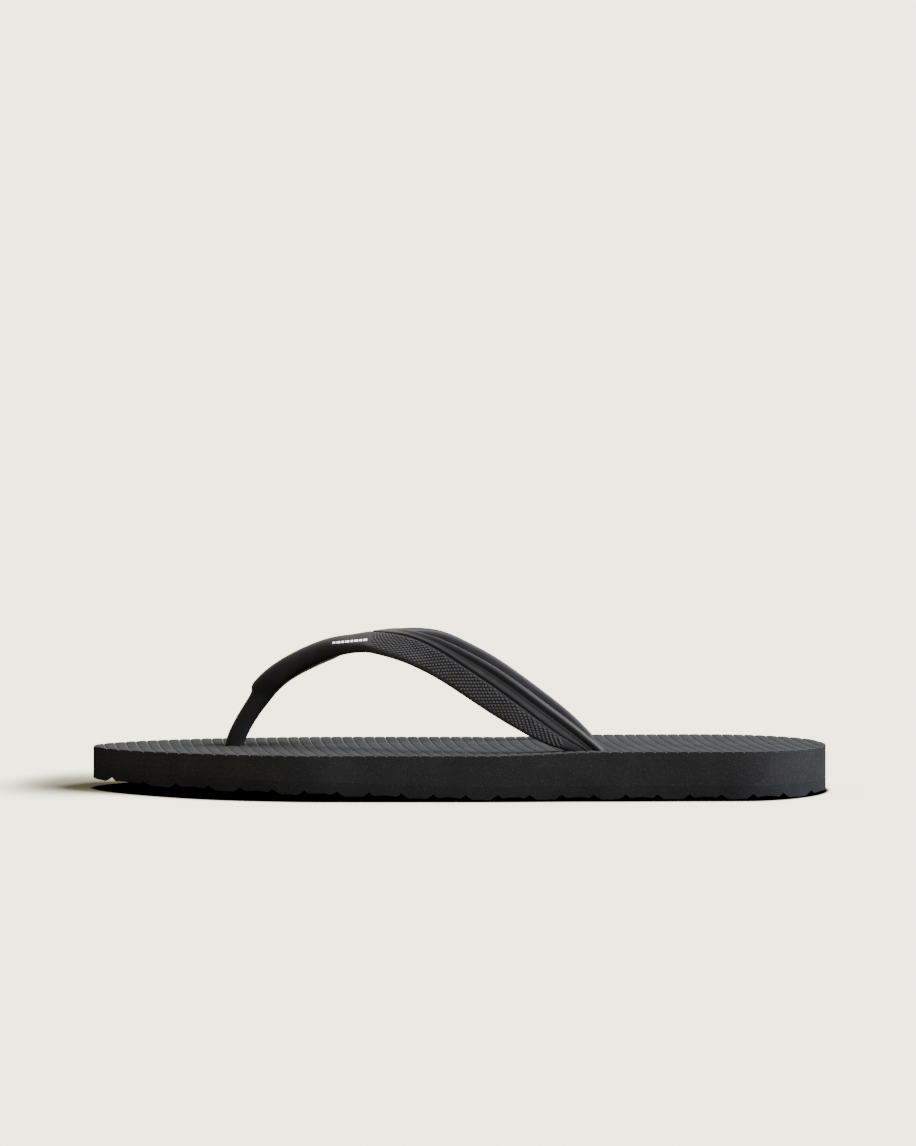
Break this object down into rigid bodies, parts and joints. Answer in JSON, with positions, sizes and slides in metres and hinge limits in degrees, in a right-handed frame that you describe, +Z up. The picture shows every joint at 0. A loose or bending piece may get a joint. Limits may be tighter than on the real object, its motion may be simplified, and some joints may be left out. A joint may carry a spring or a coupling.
{
  "type": "flip flop",
  "caption": "Left flip flop sandal with a laminated foam sole, ribbed footbed, grooved tread and a moulded Y-shaped thong strap held by plugs under the sole.",
  "frame": {"origin": "middle of the ground rectangle that the sandal covers, at the height of the ground", "axes": "+X along the sole to the heel, +Y to the inner side of the foot, +Z up"},
  "size_m": [0.285, 0.098, 0.0622],
  "materials": {
    "footbed_foam": "matte closed-cell foam with fine cross ribs",
    "core_foam": "matte die-cut foam with fine pale speckle",
    "tread_foam": "matte dense foam with cross grooves",
    "strap_rubber": "satin moulded rubber with a pip-textured panel and a smooth band",
    "plug_rubber": "smooth moulded rubber"
  },
  "bodies": {
    "root": {"footbed_sheet": "footbed_foam", "midsole_core": "core_foam", "outsole_tread": "tread_foam", "thong_strap": "strap_rubber", "toe_plug": "plug_rubber", "outer_plug": "plug_rubber", "inner_plug": "plug_rubber"}
  },
  "joints": []
}
